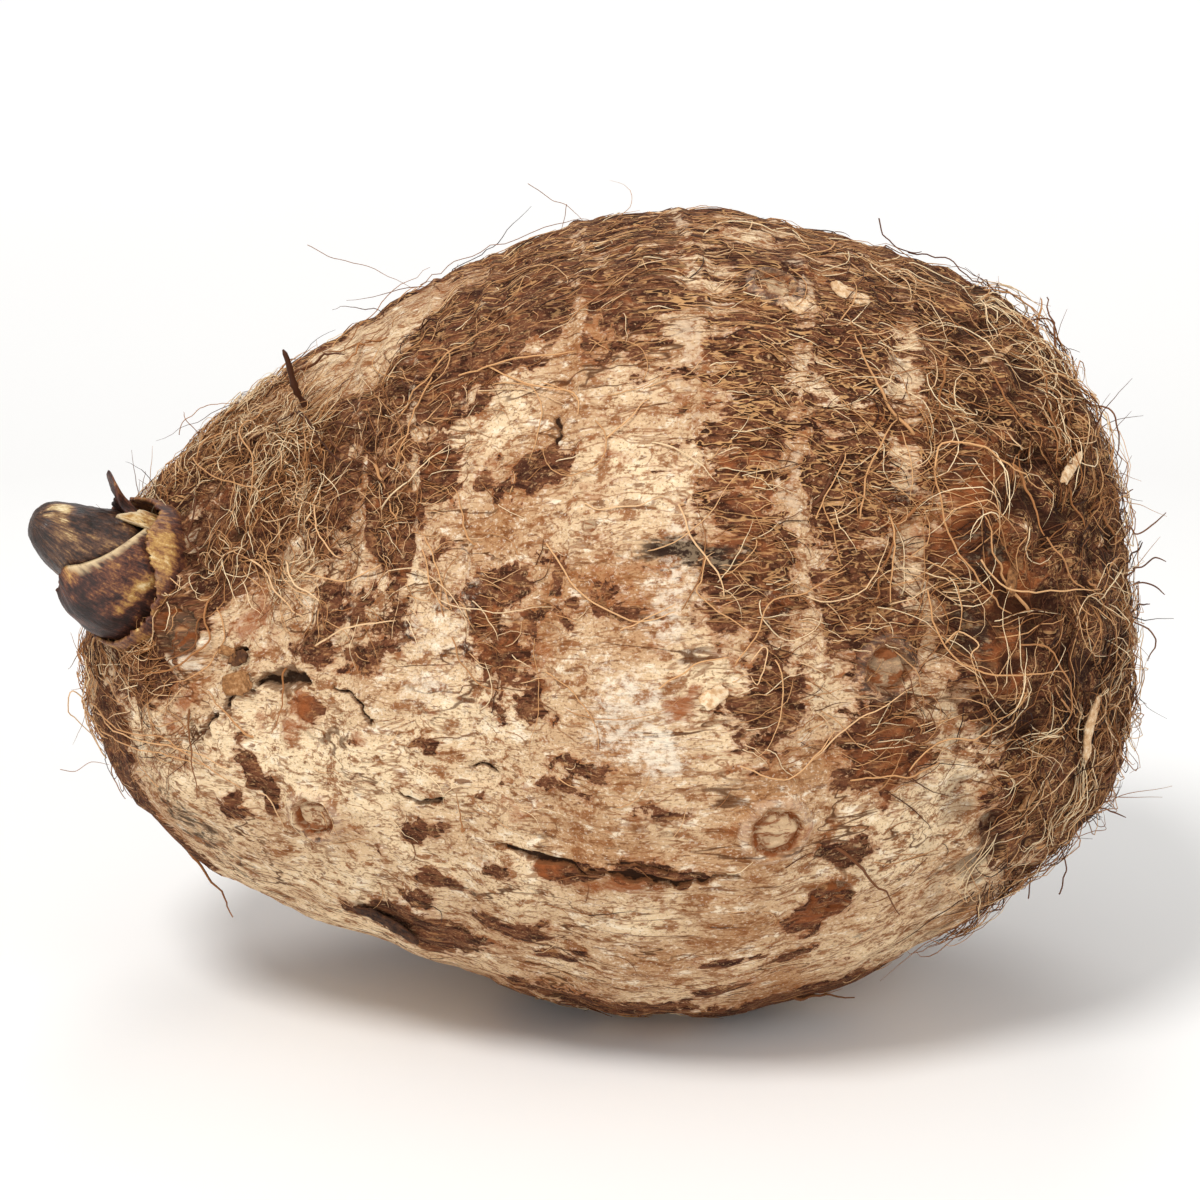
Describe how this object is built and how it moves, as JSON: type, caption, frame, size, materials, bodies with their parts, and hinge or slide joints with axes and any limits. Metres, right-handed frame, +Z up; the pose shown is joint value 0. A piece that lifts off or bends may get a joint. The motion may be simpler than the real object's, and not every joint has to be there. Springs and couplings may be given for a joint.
{
  "type": "taro root",
  "caption": "Whole taro corm lying on its side, with raised leaf-scar rings, buds, rootlets and a cut shoot in dried leaf bases at one end.",
  "frame": {"origin": "on the surface that the taro lies on, under the middle of its bounding box", "axes": "+Z up; +X from the shoot end to the root end; -Y towards the side that the picture shows"},
  "size_m": [0.1484, 0.1038, 0.1067],
  "materials": {
    "corm_skin": "dry, rough, fibrous natural skin",
    "dried_shoot": "dried to a dark satin horn",
    "dried_leaf_base": "thin, dry and satin"
  },
  "bodies": {
    "root": {"corm": "corm_skin", "shoot": "dried_shoot", "leaf_base_lower": "dried_leaf_base", "leaf_base_torn": "dried_leaf_base", "leaf_base_wedge": "dried_leaf_base", "leaf_base_collar": "dried_leaf_base"}
  },
  "joints": []
}
